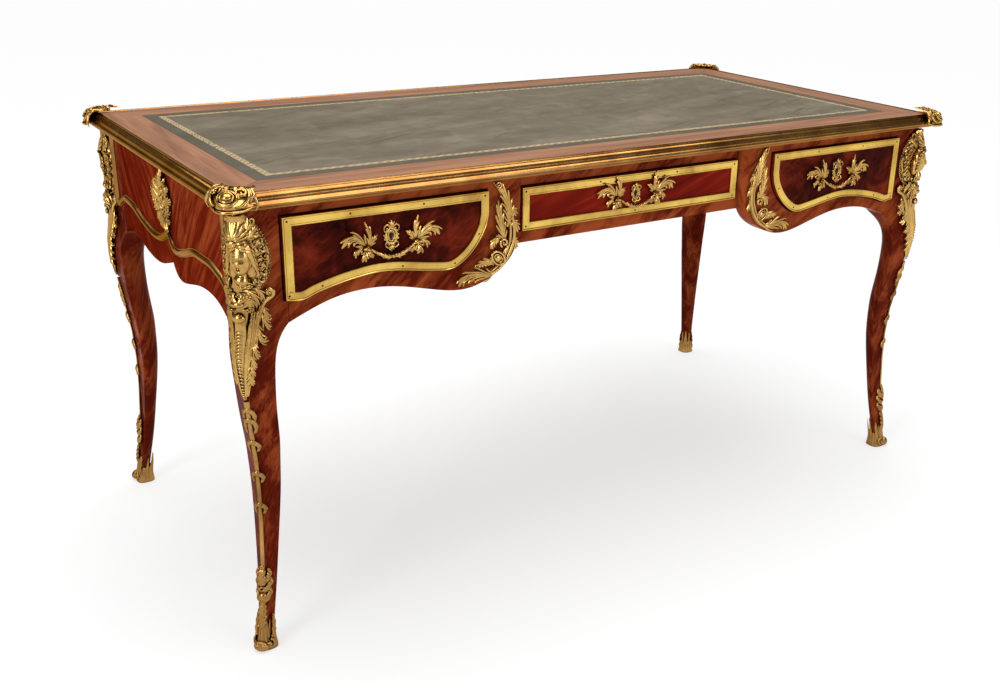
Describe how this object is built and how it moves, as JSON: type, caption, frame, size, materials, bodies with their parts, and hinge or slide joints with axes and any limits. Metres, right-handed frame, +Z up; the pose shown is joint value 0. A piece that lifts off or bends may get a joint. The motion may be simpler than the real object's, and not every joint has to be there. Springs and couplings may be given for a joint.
{
  "type": "bureau plat",
  "caption": "Writing table with a leather top, sliding drawers, cabriole legs and gilt-bronze mounts, with sham drawers at the back.",
  "frame": {"origin": "on the floor, under the middle of the table", "axes": "+X to the right of a person facing the drawers, -Y the way the drawers open, +Z up"},
  "size_m": [1.568, 0.778, 0.786],
  "materials": {
    "kingwood_veneer": "French-polished red-brown veneer laid on the diagonal",
    "drawer_veneer": "French-polished dark burr veneer",
    "top_banding": "faded cross-banded veneer round the leather, waxed",
    "carcass_oak": "oak carcass, unpolished",
    "drawer_oak": "oak drawer linings, waxed",
    "desk_leather": "worn green leather with gold-tooled lines",
    "edge_brass": "gilt brass moulding",
    "border_brass": "bright gilt brass",
    "gilt_bronze": "chased and gilt cast bronze",
    "lock_iron": "steel lock work"
  },
  "bodies": {
    "root": {"back_borders": "border_brass", "back_mounts": "gilt_bronze", "back_panel_centre": "kingwood_veneer", "back_panel_left": "kingwood_veneer", "back_panel_right": "kingwood_veneer", "corner_clasps": "gilt_bronze", "drawer_partitions": "carcass_oak", "drawer_runners": "drawer_oak", "front_apron_left": "kingwood_veneer", "front_apron_right": "kingwood_veneer", "front_centre_rail": "kingwood_veneer", "front_top_rail": "kingwood_veneer", "knee_mount_back_left": "gilt_bronze", "knee_mount_back_right": "gilt_bronze", "knee_mount_front_left": "gilt_bronze", "knee_mount_front_right": "gilt_bronze", "kneehole_mounts": "gilt_bronze", "leather_panel": "desk_leather", "leg_back_left": "kingwood_veneer", "leg_back_right": "kingwood_veneer", "leg_front_left": "kingwood_veneer", "leg_front_right": "kingwood_veneer", "leg_stems": "gilt_bronze", "sabot_back_left": "gilt_bronze", "sabot_back_right": "gilt_bronze", "sabot_front_left": "gilt_bronze", "sabot_front_right": "gilt_bronze", "side_borders": "border_brass", "side_cartouches": "gilt_bronze", "side_panel_left": "kingwood_veneer", "side_panel_right": "kingwood_veneer", "top_board": "top_banding", "top_edge_moulding": "edge_brass"},
    "drawer_left": {"drawer_left_front": "drawer_veneer", "drawer_left_box": "drawer_oak", "drawer_left_bottom": "drawer_oak", "drawer_left_border": "border_brass", "drawer_left_mounts": "gilt_bronze", "drawer_left_lock_case": "lock_iron"},
    "drawer_left_bail": {"drawer_left_bail": "gilt_bronze"},
    "drawer_left_lock_bolt": {"drawer_left_lock_bolt": "lock_iron"},
    "back_bail_left": {"back_bail_left": "gilt_bronze"},
    "drawer_centre": {"drawer_centre_front": "drawer_veneer", "drawer_centre_box": "drawer_oak", "drawer_centre_bottom": "drawer_oak", "drawer_centre_border": "border_brass", "drawer_centre_mounts": "gilt_bronze", "drawer_centre_lock_case": "lock_iron"},
    "drawer_centre_bail": {"drawer_centre_bail": "gilt_bronze"},
    "drawer_centre_lock_bolt": {"drawer_centre_lock_bolt": "lock_iron"},
    "back_bail_centre": {"back_bail_centre": "gilt_bronze"},
    "drawer_right": {"drawer_right_front": "drawer_veneer", "drawer_right_box": "drawer_oak", "drawer_right_bottom": "drawer_oak", "drawer_right_border": "border_brass", "drawer_right_mounts": "gilt_bronze", "drawer_right_lock_case": "lock_iron"},
    "drawer_right_bail": {"drawer_right_bail": "gilt_bronze"},
    "drawer_right_lock_bolt": {"drawer_right_lock_bolt": "lock_iron"},
    "back_bail_right": {"back_bail_right": "gilt_bronze"}
  },
  "joints": [
    {"name": "drawer_left_slide", "type": "slide", "parent": "root", "child": "drawer_left", "axis": [0, -1, 0], "range_m": [0, 0.38]},
    {"name": "drawer_left_bail_swing", "type": "hinge", "parent": "drawer_left", "child": "drawer_left_bail", "pos_m": [-0.5035, -0.3633, 0.668], "axis": [-1, 0, 0], "range_deg": [0, 90]},
    {"name": "drawer_left_lock_throw", "type": "slide", "parent": "drawer_left", "child": "drawer_left_lock_bolt", "axis": [0, 0, 1], "range_m": [0, 0.008]},
    {"name": "back_bail_left_swing", "type": "hinge", "parent": "root", "child": "back_bail_left", "pos_m": [-0.5035, 0.361, 0.668], "axis": [1, 0, 0], "range_deg": [0, 90]},
    {"name": "drawer_centre_slide", "type": "slide", "parent": "root", "child": "drawer_centre", "axis": [0, -1, 0], "range_m": [0, 0.38]},
    {"name": "drawer_centre_bail_swing", "type": "hinge", "parent": "drawer_centre", "child": "drawer_centre_bail", "pos_m": [0, -0.3433, 0.684], "axis": [-1, 0, 0], "range_deg": [0, 90]},
    {"name": "drawer_centre_lock_throw", "type": "slide", "parent": "drawer_centre", "child": "drawer_centre_lock_bolt", "axis": [0, 0, 1], "range_m": [0, 0.008]},
    {"name": "back_bail_centre_swing", "type": "hinge", "parent": "root", "child": "back_bail_centre", "pos_m": [0, 0.341, 0.684], "axis": [1, 0, 0], "range_deg": [0, 90]},
    {"name": "drawer_right_slide", "type": "slide", "parent": "root", "child": "drawer_right", "axis": [0, -1, 0], "range_m": [0, 0.38]},
    {"name": "drawer_right_bail_swing", "type": "hinge", "parent": "drawer_right", "child": "drawer_right_bail", "pos_m": [0.5035, -0.3633, 0.668], "axis": [-1, 0, 0], "range_deg": [0, 90]},
    {"name": "drawer_right_lock_throw", "type": "slide", "parent": "drawer_right", "child": "drawer_right_lock_bolt", "axis": [0, 0, 1], "range_m": [0, 0.008]},
    {"name": "back_bail_right_swing", "type": "hinge", "parent": "root", "child": "back_bail_right", "pos_m": [0.5035, 0.361, 0.668], "axis": [1, 0, 0], "range_deg": [0, 90]}
  ]
}
